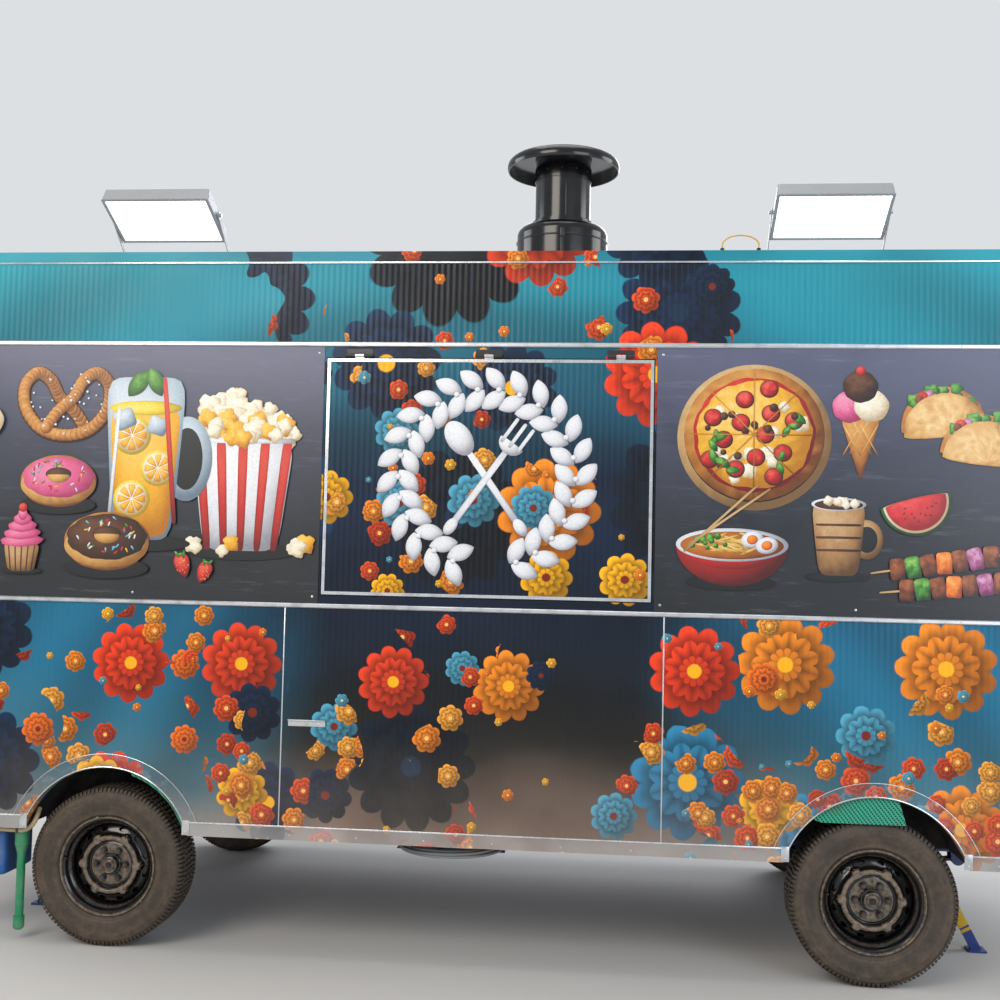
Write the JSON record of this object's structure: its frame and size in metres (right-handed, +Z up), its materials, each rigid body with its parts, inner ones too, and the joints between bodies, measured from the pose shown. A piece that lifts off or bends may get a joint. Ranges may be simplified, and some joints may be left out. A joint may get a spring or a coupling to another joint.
{
  "type": "food truck trailer",
  "caption": "Box-bodied food trailer with a serving hatch, menu boards, floodlights, a roof exhaust, a rear door, corner legs and a steered drawbar axle.",
  "frame": {"origin": "on the ground, under the middle of the whole trailer's box", "axes": "+X towards the rear, away from the drawbar; +Y away from the serving side; +Z up"},
  "size_m": [6.1548, 2.4744, 3.94],
  "materials": {
    "panel_teal": "gloss",
    "panel_white": "satin",
    "floor_plate": "matte",
    "aluminium_trim": "satin",
    "board_slate": "matte",
    "flare_grey": "satin",
    "liner_green": "satin",
    "chassis_blue": "satin",
    "spring_black": "satin",
    "tyre": "matte",
    "wheel_black": "gloss",
    "lamp_grey": "satin",
    "lamp_glass": "gloss",
    "exhaust_black": "gloss",
    "cap_steel": "satin",
    "cable_yellow": "satin",
    "fitting_black": "matte",
    "pipe_green": "satin",
    "hose_beige": "satin",
    "tank_blue": "satin",
    "lead_grey": "satin",
    "lamp_red": "gloss",
    "handle_chrome": "polished"
  },
  "bodies": {
    "trailer": {"arch_flares": "flare_grey", "cable_glands": "fitting_black", "chassis_frame": "chassis_blue", "corner_trims": "aluminium_trim", "door_hinges": "aluminium_trim", "drain_pipe": "pipe_green", "exhaust_cap": "cap_steel", "exhaust_drum": "exhaust_black", "exhaust_duct": "exhaust_black", "floodlight_brackets": "lamp_grey", "floodlight_glasses": "lamp_glass", "floodlight_housings": "lamp_grey", "floor": "floor_plate", "front_axle": "chassis_blue", "hatch_hinges": "aluminium_trim", "lamp_cable": "cable_yellow", "lead_coil": "lead_grey", "lead_gland": "fitting_black", "lead_plug": "fitting_black", "lead_tail": "lead_grey", "leaf_springs": "spring_black", "menu_board_front": "board_slate", "menu_board_rear": "board_slate", "rear_axle": "chassis_blue", "roof": "panel_white", "roof_trim": "aluminium_trim", "side_rails": "aluminium_trim", "sill_trims": "aluminium_trim", "tail_lamps": "lamp_red", "tank_straps": "chassis_blue", "wall_far": "panel_teal", "wall_front": "panel_teal", "wall_rear": "panel_teal", "wall_service": "panel_teal", "water_hose": "hose_beige", "water_tank": "tank_blue", "wheel_boxes": "liner_green"},
    "hatch": {"hatch_panel": "panel_teal", "hatch_frame": "aluminium_trim"},
    "rear_door": {"rear_door": "panel_teal", "door_handle": "handle_chrome"},
    "tongue": {"steering_tongue": "chassis_blue"},
    "drawbar": {"drawbar": "chassis_blue"},
    "tie_rod": {"tie_rod": "chassis_blue"},
    "knuckle_service": {"knuckle_service": "chassis_blue"},
    "knuckle_far": {"knuckle_far": "chassis_blue"},
    "wheel_front_service": {"tyre_front_service": "tyre", "wheel_front_service": "wheel_black"},
    "leg_front_service": {"leg_front_service": "chassis_blue"},
    "wheel_front_far": {"tyre_front_far": "tyre", "wheel_front_far": "wheel_black"},
    "leg_front_far": {"leg_front_far": "chassis_blue"},
    "wheel_rear_service": {"tyre_rear_service": "tyre", "wheel_rear_service": "wheel_black"},
    "leg_rear_service": {"leg_rear_service": "chassis_blue"},
    "wheel_rear_far": {"tyre_rear_far": "tyre", "wheel_rear_far": "wheel_black"},
    "leg_rear_far": {"leg_rear_far": "chassis_blue"}
  },
  "joints": [
    {"name": "hatch_hinge", "type": "hinge", "parent": "trailer", "child": "hatch", "pos_m": [0.43239, -0.97432, 2.677], "axis": [-1, 0, 0], "range_deg": [0, 95]},
    {"name": "door_hinge", "type": "hinge", "parent": "trailer", "child": "rear_door", "pos_m": [3.03039, 0.95617, 1.64], "axis": [0, 0, 1], "range_deg": [0, 110]},
    {"name": "steering", "type": "hinge", "parent": "trailer", "child": "tongue", "pos_m": [-1.25761, 0.13367, 0.4198], "axis": [0, 0, 1], "range_deg": [-18, 18]},
    {"name": "drawbar_hinge", "type": "hinge", "parent": "tongue", "child": "drawbar", "pos_m": [-2.26761, 0.13367, 0.4198], "axis": [0, 1, 0], "range_deg": [0, 105]},
    {"name": "tie_rod_pin", "type": "hinge", "parent": "tongue", "child": "tie_rod", "pos_m": [-1.41761, 0.13367, 0.3085], "axis": [0, 0, 1], "range_deg": [-18, 18]},
    {"name": "kingpin_service", "type": "hinge", "parent": "trailer", "child": "knuckle_service", "pos_m": [-1.25761, -0.68883, 0.3535], "axis": [0, 0, 1], "range_deg": [-18, 18]},
    {"name": "kingpin_far", "type": "hinge", "parent": "trailer", "child": "knuckle_far", "pos_m": [-1.25761, 0.95617, 0.3535], "axis": [0, 0, 1], "range_deg": [-18, 18]},
    {"name": "wheel_front_service_spin", "type": "hinge", "parent": "knuckle_service", "child": "wheel_front_service", "pos_m": [-1.25761, -0.82883, 0.3535], "axis": [0, 1, 0], "continuous": true},
    {"name": "leg_front_service_pivot", "type": "hinge", "parent": "trailer", "child": "leg_front_service", "pos_m": [-1.60761, -0.28632, 0.46], "axis": [0, 1, 0], "range_deg": [0, 58]},
    {"name": "wheel_front_far_spin", "type": "hinge", "parent": "knuckle_far", "child": "wheel_front_far", "pos_m": [-1.25761, 1.09617, 0.3535], "axis": [0, 1, 0], "continuous": true},
    {"name": "leg_front_far_pivot", "type": "hinge", "parent": "trailer", "child": "leg_front_far", "pos_m": [-1.60761, 0.55368, 0.46], "axis": [0, 1, 0], "range_deg": [0, 58]},
    {"name": "wheel_rear_service_spin", "type": "hinge", "parent": "trailer", "child": "wheel_rear_service", "pos_m": [2.12239, -0.82883, 0.3535], "axis": [0, 1, 0], "continuous": true},
    {"name": "leg_rear_service_pivot", "type": "hinge", "parent": "trailer", "child": "leg_rear_service", "pos_m": [2.47239, -0.28632, 0.46], "axis": [0, -1, 0], "range_deg": [0, 58]},
    {"name": "wheel_rear_far_spin", "type": "hinge", "parent": "trailer", "child": "wheel_rear_far", "pos_m": [2.12239, 1.09617, 0.3535], "axis": [0, 1, 0], "continuous": true},
    {"name": "leg_rear_far_pivot", "type": "hinge", "parent": "trailer", "child": "leg_rear_far", "pos_m": [2.47239, 0.55368, 0.46], "axis": [0, -1, 0], "range_deg": [0, 58]}
  ],
  "couplings": [
    {"joint": "tie_rod_pin", "follows": "steering", "ratio": -1},
    {"joint": "kingpin_service", "follows": "steering", "ratio": 1},
    {"joint": "kingpin_far", "follows": "steering", "ratio": 1}
  ]
}
